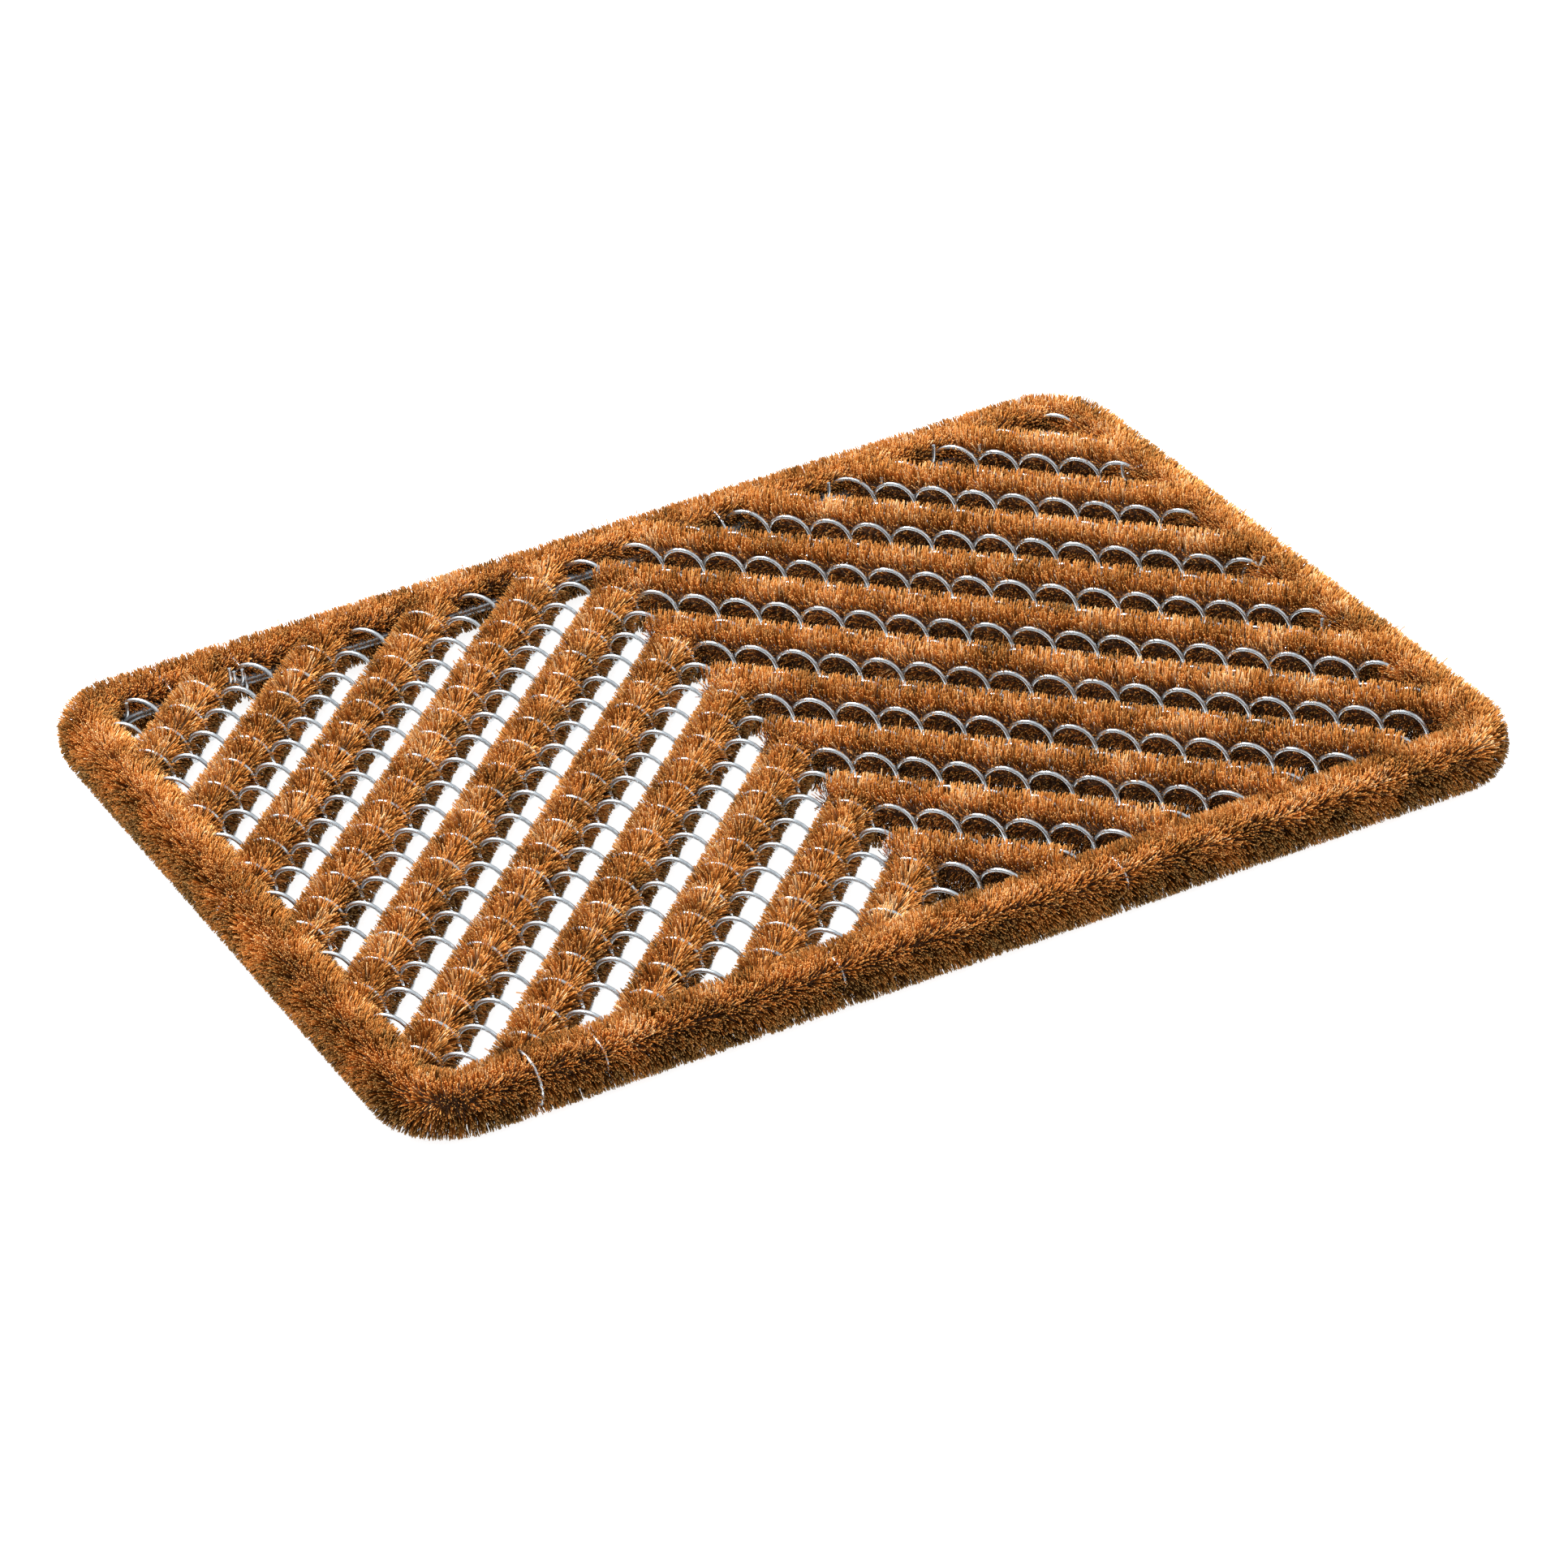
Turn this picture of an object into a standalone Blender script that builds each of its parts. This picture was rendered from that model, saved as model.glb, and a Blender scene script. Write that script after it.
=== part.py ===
"""Coir and wire door mat: a chain-link field of flattened wire coils on a frame rod, with coir brush
strips pushed through it in a chevron and one thick coir brush tied round the edge."""

import math

import bmesh
import bpy

# Driving dimensions, in metres. X runs along the mat's length, Y across it, Z up from the ground.
MAT_LENGTH = 0.604
MAT_WIDTH = 0.446
MAT_HEIGHT = 0.028
CORNER_RADIUS = 0.040  # the outer corner of the border brush
ROD_INSET_END = 0.0263  # from the mat's short edge in to the middle of the frame rod
ROD_INSET_SIDE = 0.0285  # from the mat's long edge in to the middle of the frame rod
ROD_DIAMETER = 0.0055
ROD_CORNER_RADIUS = 0.022
WIRE_DIAMETER = 0.0022
LINK = 0.022  # one leg of a coil, from hook to hook
COIL_DEPTH = 0.022  # between the middles of a coil's front and back legs
COIL_LIFT = 0.0026  # free height under the coils
TIE_DIAMETER = 0.0018
TIE_WRAP = 0.0095  # how far a tie wire reaches into the border brush
GAP = 0.0003  # between pieces that touch
HOOK_PLAY = 0.0006  # between wires that hook round each other, and round the rod
STRIP_EVERY = 2  # a brush strip lies in every second channel of the mesh
BORDER_ROUNDING = 0.008  # the shoulders of the border brush
ARC_STEPS = 6  # straight pieces in a rounded corner
SHOULDER_STEPS = 3  # straight pieces in a shoulder of the border brush

# Where the tie wires sit along each side: the end of its straight part that they are placed from
# (-1 or 1, or 0 for its middle), and the distance from there.
TIES_FAR = ((-1, 0.027), (-1, 0.061), (0, -0.0425), (0, 0.077), (1, -0.034))
TIES_NEAR = ((-1, 0.028), (-1, 0.063), (0, -0.077), (0, 0.074))
TIES_RIGHT = ((0, -0.071), (0, 0.002), (1, -0.065))
TIES_LEFT = ((0, -0.001),)

# What follows from them.
ROD_RADIUS = ROD_DIAMETER / 2
WIRE_RADIUS = WIRE_DIAMETER / 2
TIE_RADIUS = TIE_DIAMETER / 2
MESH_MIDDLE = COIL_LIFT + WIRE_RADIUS + COIL_DEPTH / 2
FRONT_Z = MESH_MIDDLE + COIL_DEPTH / 2
BACK_Z = MESH_MIDDLE - COIL_DEPTH / 2
ROD_X = MAT_LENGTH / 2 - ROD_INSET_END
ROD_Y = MAT_WIDTH / 2 - ROD_INSET_SIDE
ROUND_ROD = ROD_RADIUS + WIRE_RADIUS + HOOK_PLAY  # from the rod's middle to a wire hooked round it
HOOK_REACH = WIRE_RADIUS + HOOK_PLAY / 2  # how far a bend passes the line of its nodes
HOOK_LEAN = WIRE_RADIUS  # half of a bend's lean along the coil
MESH_X = ROD_X + ROUND_ROD
COLUMNS = round(MESH_X * math.sqrt(2) / LINK)  # node columns on each side of the middle
COILS = round(2 * ROD_Y * math.sqrt(2) / LINK)
PITCH_X = MESH_X / COLUMNS
PITCH_Y = 2 * ROD_Y / COILS
BORDER_WIDTH = MAT_LENGTH / 2 - MESH_X - HOOK_LEAN - WIRE_RADIUS - GAP
CHANNEL = PITCH_X * PITCH_Y / math.hypot(PITCH_X, PITCH_Y)  # from a channel's middle to its wires
STRIP_WIDTH = 2 * (CHANNEL * (1 - HOOK_LEAN / PITCH_X - HOOK_REACH / PITCH_Y) - WIRE_RADIUS - GAP)
ROD_CLEAR = ROD_RADIUS + TIE_DIAMETER + 2 * GAP  # from the rod's middle to the ends of the strips
FIELD_X = ROD_X - ROD_CLEAR
FIELD_Y = ROD_Y - ROD_CLEAR
FIELD_CORNER = FIELD_X + FIELD_Y - (ROD_CORNER_RADIUS - ROD_CLEAR) * (2 - math.sqrt(2))


def clear_scene():
    for obj in list(bpy.data.objects):
        bpy.data.objects.remove(obj, do_unlink=True)


def make_material(name, colour, roughness, metallic):
    material = bpy.data.materials.new(name)
    material.use_nodes = True
    shader = material.node_tree.nodes["Principled BSDF"]
    shader.inputs["Base Color"].default_value = (*colour, 1.0)
    shader.inputs["Roughness"].default_value = roughness
    shader.inputs["Metallic"].default_value = metallic
    return material


def make_collection(name):
    collection = bpy.data.collections.new(name)
    bpy.context.scene.collection.children.link(collection)
    return collection


def new_curve(name, points, closed, collection):
    """A curve object with one straight-line spline through the points."""
    curve = bpy.data.curves.new(name, "CURVE")
    curve.dimensions = "3D"
    spline = curve.splines.new("POLY")
    spline.points.add(len(points) - 1)
    for target, point in zip(spline.points, points):
        target.co = (*point, 1.0)
    spline.use_cyclic_u = closed
    obj = bpy.data.objects.new(name, curve)
    collection.objects.link(obj)
    return obj


def wire(name, points, radius, resolution, material, closed=False):
    obj = new_curve(name, points, closed, MAT)
    obj.data.bevel_depth = radius
    obj.data.bevel_resolution = resolution
    obj.data.use_fill_caps = not closed
    obj.data.materials.append(material)
    return obj


def plate(name, outline, thickness, collection):
    """A flat outline in its own XY plane, filled and thickened evenly to both sides."""
    obj = new_curve(name, [(x, y, 0.0) for x, y in outline], True, collection)
    obj.data.dimensions = "2D"
    obj.data.fill_mode = "BOTH"
    obj.data.extrude = thickness / 2
    return obj


def rounded_rectangle(half_x, half_y, radius, z):
    """Points round a rectangle with rounded corners, anticlockwise from the right side."""
    points = []
    for quarter, (sign_x, sign_y) in enumerate(((1, 1), (-1, 1), (-1, -1), (1, -1))):
        centre_x = sign_x * (half_x - radius)
        centre_y = sign_y * (half_y - radius)
        for step in range(ARC_STEPS + 1):
            angle = (quarter + step / ARC_STEPS) * math.pi / 2
            points.append((centre_x + radius * math.cos(angle), centre_y + radius * math.sin(angle), z))
    return points


def curve_to_mesh(obj):
    """The same object as a mesh with its caps welded on. The curve is removed."""
    graph = bpy.context.evaluated_depsgraph_get()
    mesh = bpy.data.meshes.new_from_object(obj.evaluated_get(graph))
    shape = bmesh.new()
    shape.from_mesh(mesh)
    bmesh.ops.remove_doubles(shape, verts=shape.verts, dist=0.00001)
    shape.to_mesh(mesh)
    shape.free()
    name = obj.name
    obj.name = name + "_curve"
    mesh_object = bpy.data.objects.new(name, mesh)
    mesh_object.matrix_world = obj.matrix_world
    obj.users_collection[0].objects.link(mesh_object)
    bpy.data.objects.remove(obj, do_unlink=True)
    return mesh_object


def coil_points(index):
    """A flattened spiral: front legs at the top, back legs at the bottom, a bend at each node."""
    first, last = -COLUMNS, COLUMNS
    rows = {column: index + (column - index) % 2 for column in range(first, last + 1)}
    if rows[first] in (0, COILS):
        first, last = first + 1, last - 1
    points = []
    for column in range(first, last + 1):
        row = rows[column]
        outward = 1 if row > index else -1
        on_rod = row in (0, COILS)
        x = column * PITCH_X
        y = (row - COILS / 2) * PITCH_Y + outward * (ROUND_ROD if on_rod else HOOK_REACH)
        arriving, leaving = (BACK_Z, FRONT_Z) if outward > 0 else (FRONT_Z, BACK_Z)
        points.append((x - HOOK_LEAN, y, arriving))
        points.append((x + HOOK_LEAN, y, leaving))
    return points


def make_coils(material):
    """The chain-link field. Each coil hooks into the next, and the outer two round the rod."""
    for index in range(COILS):
        wire(f"wire_coil_{index + 1:02d}", coil_points(index), WIRE_RADIUS, 0, material)


def make_frame_rod(material):
    points = rounded_rectangle(ROD_X, ROD_Y, ROD_CORNER_RADIUS, MESH_MIDDLE)
    wire("frame_rod", points, ROD_RADIUS, 2, material, closed=True)


def clipped(polygon, normal_x, normal_y, limit):
    """The part of a convex polygon where normal_x * x + normal_y * y is at most limit."""
    kept = []
    for (x0, y0), (x1, y1) in zip(polygon, polygon[1:] + polygon[:1]):
        d0 = normal_x * x0 + normal_y * y0 - limit
        d1 = normal_x * x1 + normal_y * y1 - limit
        if d0 <= 0:
            kept.append((x0, y0))
        if d0 * d1 < 0:
            share = d0 / (d0 - d1)
            kept.append((x0 + share * (x1 - x0), y0 + share * (y1 - y0)))
    return kept


def strip_outline(channel):
    """The left-hand strip in one channel: the channel's band, cut by the field's edges and corners and
    by the middle."""
    slope = math.hypot(1 / PITCH_X, 1 / PITCH_Y)
    middle = channel + COILS / 2
    half = STRIP_WIDTH / 2 * slope
    edge = -GAP / 2
    outline = [(-FIELD_X, -FIELD_Y), (edge, -FIELD_Y), (edge, FIELD_Y), (-FIELD_X, FIELD_Y)]
    outline = clipped(outline, -1, -1, FIELD_CORNER)
    outline = clipped(outline, -1, 1, FIELD_CORNER)
    outline = clipped(outline, 1 / PITCH_X, -1 / PITCH_Y, middle + half)
    return clipped(outline, -1 / PITCH_X, 1 / PITCH_Y, half - middle)


def make_strips(material):
    """Left strips run under the front legs; right strips, their mirror image, run over the back legs."""
    clear = WIRE_RADIUS + GAP
    spans = {"left": (0.0, FRONT_Z - clear), "right": (BACK_Z + clear, MAT_HEIGHT)}
    channel = 1 - 2 * STRIP_EVERY
    number = 1
    outline = strip_outline(channel)
    while len(outline) > 2:
        for side, (bottom, top) in spans.items():
            turned = outline if side == "left" else [(-x, y) for x, y in reversed(outline)]
            strip = plate(f"coir_strip_{side}_{number:02d}", turned, top - bottom, MAT)
            strip.location.z = (bottom + top) / 2
            strip.data.materials.append(material)
        channel -= 2 * STRIP_EVERY
        number += 1
        outline = strip_outline(channel)


def border_profile():
    """Cross-section of the border brush: flat on the ground, rounded shoulders, eased bottom edges."""
    half = BORDER_WIDTH / 2
    foot = BORDER_ROUNDING / 3
    right = [(half - foot, 0.0), (half, foot)]
    for step in range(SHOULDER_STEPS + 1):
        angle = step / SHOULDER_STEPS * math.pi / 2
        across = half - BORDER_ROUNDING + BORDER_ROUNDING * math.cos(angle)
        up = MAT_HEIGHT - BORDER_ROUNDING + BORDER_ROUNDING * math.sin(angle)
        right.append((across, up))
    return right + [(-across, up) for across, up in reversed(right)]


def beside_bend(place, first_bend, spacing):
    """The place, moved along the side just enough to leave the nearest bend of the coils free."""
    clear = HOOK_LEAN + WIRE_RADIUS + TIE_RADIUS + HOOK_PLAY
    bend = first_bend + round((place - first_bend) / spacing) * spacing
    if abs(place - bend) >= clear:
        return place
    return bend + math.copysign(clear, place - bend)


def tie_sites():
    """Each tie's place on the rod and the direction outward from the mat: (x, y, outward angle)."""
    half_x = MAT_LENGTH / 2 - CORNER_RADIUS
    half_y = MAT_WIDTH / 2 - CORNER_RADIUS
    sites = []
    for ties, sign, row in ((TIES_FAR, 1, COILS), (TIES_NEAR, -1, 0)):
        for end, distance in ties:
            x = beside_bend(end * half_x + distance, (row % 2) * PITCH_X, 2 * PITCH_X)
            sites.append((x, sign * ROD_Y, sign * math.pi / 2))
    for ties, sign in ((TIES_RIGHT, 1), (TIES_LEFT, -1)):
        for end, distance in ties:
            first_bend = (COLUMNS % 2 - COILS / 2) * PITCH_Y
            y = beside_bend(end * half_y + distance, first_bend, 2 * PITCH_Y)
            sites.append((sign * ROD_X, y, 0.0 if sign > 0 else math.pi))
    return sites


def border_start(angle):
    """From the rod's middle out to the border brush's inner face, on the side facing that way."""
    inset = ROD_INSET_END if abs(math.cos(angle)) > 0.5 else ROD_INSET_SIDE
    return inset - BORDER_WIDTH


def groove_outline(start):
    """What a tie presses aside, in the plane across the border: all but the core that it holds."""
    low = MESH_MIDDLE - ROD_RADIUS - GAP
    high = MESH_MIDDLE + ROD_RADIUS + GAP
    inner = start - GAP
    core = start + TIE_WRAP
    outer = start + 2 * BORDER_WIDTH
    bottom, top = -MAT_HEIGHT, 2 * MAT_HEIGHT
    return [(inner, bottom), (outer, bottom), (outer, top), (inner, top),
            (inner, high), (core, high), (core, low), (inner, low)]


def make_border(material):
    """One closed brush round the edge, with a groove through its bristles at each tie."""
    half_x = (MAT_LENGTH - BORDER_WIDTH) / 2
    half_y = (MAT_WIDTH - BORDER_WIDTH) / 2
    path = rounded_rectangle(half_x, half_y, CORNER_RADIUS - BORDER_WIDTH / 2, 0.0)
    profile = new_curve("border_profile", [(x, y, 0.0) for x, y in border_profile()], True, HELPERS)
    profile.hide_render = True
    border = new_curve("border_brush", path, True, MAT)
    border.data.bevel_mode = "OBJECT"
    border.data.bevel_object = profile
    border.data.materials.append(material)
    border = curve_to_mesh(border)
    for number, (x, y, angle) in enumerate(tie_sites(), 1):
        outline = groove_outline(border_start(angle))
        groove = plate(f"tie_groove_{number:02d}", outline, TIE_DIAMETER + 4 * GAP, HELPERS)
        groove.rotation_euler = (math.pi / 2, 0.0, angle)
        groove.location = (x, y, 0.0)
        bpy.context.view_layer.update()
        groove = curve_to_mesh(groove)
        groove.hide_render = True
        groove.display_type = "WIRE"
        cut = border.modifiers.new("groove", "BOOLEAN")
        cut.operation = "DIFFERENCE"
        cut.object = groove


def make_ties(material):
    """Wire loops that hold the border brush to the rod."""
    up = ROD_RADIUS + 2 * GAP + TIE_RADIUS
    corner = TIE_RADIUS / 2
    for number, (x, y, angle) in enumerate(tie_sites(), 1):
        inner = -up
        outer = border_start(angle) + TIE_WRAP + GAP + TIE_RADIUS
        loop = [(inner, up - corner), (inner + corner, up), (outer - corner, up), (outer, up - corner),
                (outer, corner - up), (outer - corner, -up), (inner + corner, -up), (inner, corner - up)]
        points = [(x + d * math.cos(angle), y + d * math.sin(angle), MESH_MIDDLE + z) for d, z in loop]
        wire(f"tie_wire_{number:02d}", points, TIE_RADIUS, 1, material, closed=True)


clear_scene()
MAT = make_collection("door_mat")
HELPERS = make_collection("helpers")
COIR = make_material("coir", (0.46, 0.22, 0.08), 0.95, 0.0)
GALVANISED = make_material("galvanised_wire", (0.55, 0.58, 0.60), 0.35, 1.0)
make_coils(GALVANISED)
make_frame_rod(GALVANISED)
make_strips(COIR)
make_border(COIR)
make_ties(GALVANISED)
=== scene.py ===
"""Looks for the coir and wire door mat: linked galvanised spirals on a frame rod, coir brush strips in a
chevron, and one thick coir brush tied round the edge. Metres, Z up from the ground."""

import math

import bpy
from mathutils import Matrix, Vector


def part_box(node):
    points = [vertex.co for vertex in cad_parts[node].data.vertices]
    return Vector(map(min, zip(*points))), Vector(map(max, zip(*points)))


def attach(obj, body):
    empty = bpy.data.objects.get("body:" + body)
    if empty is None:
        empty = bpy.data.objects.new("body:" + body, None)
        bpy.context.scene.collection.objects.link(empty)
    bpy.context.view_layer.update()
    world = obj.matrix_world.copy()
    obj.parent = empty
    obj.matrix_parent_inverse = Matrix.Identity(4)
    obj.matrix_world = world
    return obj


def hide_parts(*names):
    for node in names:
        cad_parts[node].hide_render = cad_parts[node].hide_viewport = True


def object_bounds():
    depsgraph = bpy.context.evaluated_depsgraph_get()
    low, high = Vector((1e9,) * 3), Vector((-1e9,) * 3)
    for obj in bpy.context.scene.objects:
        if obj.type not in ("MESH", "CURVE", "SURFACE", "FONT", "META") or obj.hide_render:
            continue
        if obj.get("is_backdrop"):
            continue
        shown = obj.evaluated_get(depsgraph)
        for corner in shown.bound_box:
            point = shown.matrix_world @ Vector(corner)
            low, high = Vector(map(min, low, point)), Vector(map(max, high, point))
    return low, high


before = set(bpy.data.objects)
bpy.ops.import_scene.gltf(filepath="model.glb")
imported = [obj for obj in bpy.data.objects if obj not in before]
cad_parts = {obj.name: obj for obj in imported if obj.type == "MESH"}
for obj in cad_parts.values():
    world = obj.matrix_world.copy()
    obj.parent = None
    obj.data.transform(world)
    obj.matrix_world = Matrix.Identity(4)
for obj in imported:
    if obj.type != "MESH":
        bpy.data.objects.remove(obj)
cad_low, cad_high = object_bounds()

# Frame rod. One mild steel rod, about 5.5 mm thick, bent to a rounded rectangle and hot-dip galvanised.
# The outer spirals hook round it and the border brush is tied to it.
ROD_RADIUS = 0.00275
ROD_CORNER_RADIUS = 0.022
CORNER_STEPS = 12
ROD_ROUNDNESS = 5
PATCH_SCALE = 60.0  # dull patches to a metre
SPECK_SCALE = 1400.0
SPANGLE_WEIGHT = 0.35  # how far a crystal's own tone counts beside the patches
PATCH_WEIGHT = 1.3
BRIGHT_BELOW = 0.42  # the zinc is wholly bright where the two come to less than this
BRIGHT_ROUGHNESS = 0.22
DULL_ROUGHNESS = 0.40
SPECK_RELIEF = 0.6
PATCH_RELIEF = 0.5
rod_low, rod_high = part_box("frame_rod")
rod_x = rod_high.x - ROD_RADIUS
rod_y = rod_high.y - ROD_RADIUS
mesh_middle = (rod_low.z + rod_high.z) / 2


def add_node(tree, kind, inputs=None, **settings):
    """One node with its settings, and its inputs set to values or linked to other nodes' outputs."""
    made = tree.nodes.new(kind)
    for name, value in settings.items():
        setattr(made, name, value)
    for name, value in (inputs or {}).items():
        if isinstance(value, bpy.types.NodeSocket):
            tree.links.new(value, made.inputs[name])
        else:
            made.inputs[name].default_value = value
    return made


def number(tree, operation, *values):
    return add_node(tree, "ShaderNodeMath", dict(enumerate(values)), operation=operation).outputs[0]


def make_zinc_skin():
    """Galvanised zinc: soft spangle, duller grey patches, and fine drawing marks and specks."""
    group = bpy.data.node_groups.new("zinc_skin", "ShaderNodeTree")
    face = group.interface
    face.new_socket("Spangle Scale", in_out="INPUT", socket_type="NodeSocketFloat")
    face.new_socket("Bright", in_out="INPUT", socket_type="NodeSocketColor")
    face.new_socket("Dull", in_out="INPUT", socket_type="NodeSocketColor")
    face.new_socket("Color", in_out="OUTPUT", socket_type="NodeSocketColor")
    face.new_socket("Roughness", in_out="OUTPUT", socket_type="NodeSocketFloat")
    face.new_socket("Height", in_out="OUTPUT", socket_type="NodeSocketFloat")
    source = group.nodes.new("NodeGroupInput").outputs
    sink = group.nodes.new("NodeGroupOutput").inputs
    place = add_node(group, "ShaderNodeTexCoord").outputs["Object"]
    spangle = add_node(group, "ShaderNodeTexVoronoi",
                       {"Vector": place, "Scale": source["Spangle Scale"]}).outputs["Color"]
    patches = add_node(group, "ShaderNodeTexNoise",
                       {"Vector": place, "Scale": PATCH_SCALE, "Detail": 4.0}).outputs[0]
    specks = add_node(group, "ShaderNodeTexNoise",
                      {"Vector": place, "Scale": SPECK_SCALE, "Detail": 2.0}).outputs[0]
    spangle = add_node(group, "ShaderNodeSeparateColor", {"Color": spangle}).outputs[0]
    facet = number(group, "MULTIPLY_ADD", spangle, SPANGLE_WEIGHT, -BRIGHT_BELOW)
    worn = number(group, "MULTIPLY_ADD", patches, PATCH_WEIGHT, facet)
    shade = add_node(group, "ShaderNodeClamp", {"Value": worn}).outputs[0]
    colour = add_node(group, "ShaderNodeMix", {0: shade, 6: source["Bright"], 7: source["Dull"]},
                      data_type="RGBA").outputs[2]
    group.links.new(colour, sink["Color"])
    roughness = number(group, "MULTIPLY_ADD", shade, DULL_ROUGHNESS - BRIGHT_ROUGHNESS, BRIGHT_ROUGHNESS)
    group.links.new(roughness, sink["Roughness"])
    relief = number(group, "MULTIPLY", shade, PATCH_RELIEF)
    height = number(group, "MULTIPLY_ADD", specks, SPECK_RELIEF, relief)
    group.links.new(height, sink["Height"])
    return group


def make_galvanised(name, spangle_scale, bright, dull):
    """Zinc skin with so many spangles to a metre, between this bright and this dull colour."""
    material = bpy.data.materials.new(name)
    material.use_nodes = True
    tree = material.node_tree
    shader = tree.nodes["Principled BSDF"]
    shader.inputs["Metallic"].default_value = 0.95
    skin = add_node(tree, "ShaderNodeGroup", {}, node_tree=ZINC_SKIN)
    skin.inputs["Spangle Scale"].default_value = spangle_scale
    skin.inputs["Bright"].default_value = (*bright, 1.0)
    skin.inputs["Dull"].default_value = (*dull, 1.0)
    tree.links.new(skin.outputs["Color"], shader.inputs["Base Color"])
    tree.links.new(skin.outputs["Roughness"], shader.inputs["Roughness"])
    bump = add_node(tree, "ShaderNodeBump",
                    {"Height": skin.outputs["Height"], "Strength": 0.10, "Distance": 0.0004})
    tree.links.new(bump.outputs["Normal"], shader.inputs["Normal"])
    return material


def rounded_loop(half_x, half_y, radius, z):
    """Points round a rectangle with rounded corners, anticlockwise seen from above, from the right side."""
    points = []
    for quarter, (sign_x, sign_y) in enumerate(((1, 1), (-1, 1), (-1, -1), (1, -1))):
        for step in range(CORNER_STEPS + 1):
            angle = (quarter + step / CORNER_STEPS) * math.pi / 2
            points.append((sign_x * (half_x - radius) + radius * math.cos(angle),
                           sign_y * (half_y - radius) + radius * math.sin(angle), z))
    return points


def line_curve(name, points, closed):
    """A curve object of straight steps through the points."""
    curve = bpy.data.curves.new(name, "CURVE")
    curve.dimensions = "3D"
    spline = curve.splines.new("POLY")
    spline.points.add(len(points) - 1)
    for target, point in zip(spline.points, points):
        target.co = (*point, 1.0)
    spline.use_cyclic_u = closed
    obj = bpy.data.objects.new(name, curve)
    bpy.context.scene.collection.objects.link(obj)
    return obj


def plain_mesh(obj):
    """The evaluated shape of obj as a plain mesh object of the same name. obj itself is removed."""
    graph = bpy.context.evaluated_depsgraph_get()
    mesh = bpy.data.meshes.new_from_object(obj.evaluated_get(graph))
    name = obj.name
    obj.name = name + "_source"
    made = bpy.data.objects.new(name, mesh)
    bpy.context.scene.collection.objects.link(made)
    bpy.data.objects.remove(obj, do_unlink=True)
    return made


def round_wire(name, points, radius, roundness, material, closed=False):
    """A round wire along the points, as a smooth mesh with 2 * roundness + 4 sides."""
    obj = line_curve(name, points, closed)
    obj.data.bevel_depth = radius
    obj.data.bevel_resolution = roundness
    obj.data.use_fill_caps = not closed
    obj = plain_mesh(obj)
    obj.data.materials.clear()
    obj.data.materials.append(material)
    obj.data.shade_smooth()
    return obj


ZINC_SKIN = make_zinc_skin()
# painted shade: the rod's zinc has far darker colours than the wires' zinc, for the shade it lies in under
# the border brush
shaded_rod_zinc = make_galvanised("galvanised_rod", 320.0, (0.34, 0.37, 0.40), (0.12, 0.135, 0.15))
rod_line = rounded_loop(rod_x, rod_y, ROD_CORNER_RADIUS, mesh_middle)
rod = round_wire("rod", rod_line, ROD_RADIUS, ROD_ROUNDNESS, shaded_rod_zinc, closed=True)
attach(rod, "root")
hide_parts("frame_rod")

# Wire spirals. Each is one galvanised wire, 2.2 mm thick, wound into a round spring and screwed through
# the bends of its neighbour, so that the front half of each turn stands up as an arch over the mat.
WIRE_RADIUS = 0.0011
SPIRAL_RADIUS = 0.011
HOOK_REACH = 0.0014  # how far a bend passes the line where two spirals meet
ROD_REACH = 0.00445  # and how far past the middle of the rod
SPIRALS = 25
COLUMNS = 18  # turns meet their neighbours at this many places on each side of the middle
ARCH_STEPS = 12
WIRE_SIDES = 7
ARCH_SQUARING = 0.085  # how nearly an arch stands in one upright plane: 0 is an even spring
pitch_x = (rod_x + ROD_REACH) / COLUMNS
pitch_y = 2 * rod_y / SPIRALS


def new_tree(name, sockets):
    """A Geometry Nodes tree with a mesh in and out, and these named inputs."""
    tree = bpy.data.node_groups.new(name, "GeometryNodeTree")
    tree.interface.new_socket("Geometry", in_out="INPUT", socket_type="NodeSocketGeometry")
    for socket, kind in sockets.items():
        tree.interface.new_socket(socket, in_out="INPUT", socket_type="NodeSocket" + kind)
    tree.interface.new_socket("Geometry", in_out="OUTPUT", socket_type="NodeSocketGeometry")
    return tree, tree.nodes.new("NodeGroupInput").outputs, tree.nodes.new("NodeGroupOutput").inputs


def finish_tree(tree, geometry, source, sink):
    """Ends a tree: its instances made real and its material set."""
    real = add_node(tree, "GeometryNodeRealizeInstances", {"Geometry": geometry}).outputs[0]
    coated = add_node(tree, "GeometryNodeSetMaterial",
                      {"Geometry": real, "Material": source["Material"]}).outputs[0]
    tree.links.new(coated, sink[0])


def grown(name, tree, values, base=None):
    """A plain mesh object grown by the tree, with its named inputs set to these values."""
    obj = base or bpy.data.objects.new(name, bpy.data.meshes.new(name))
    if base is None:
        bpy.context.scene.collection.objects.link(obj)
    modifier = obj.modifiers.new("grow", "NODES")
    modifier.node_group = tree
    for item in tree.interface.items_tree:
        if item.in_out == "INPUT" and item.name in values:
            modifier[item.identifier] = values[item.name]
    return plain_mesh(obj)


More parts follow.
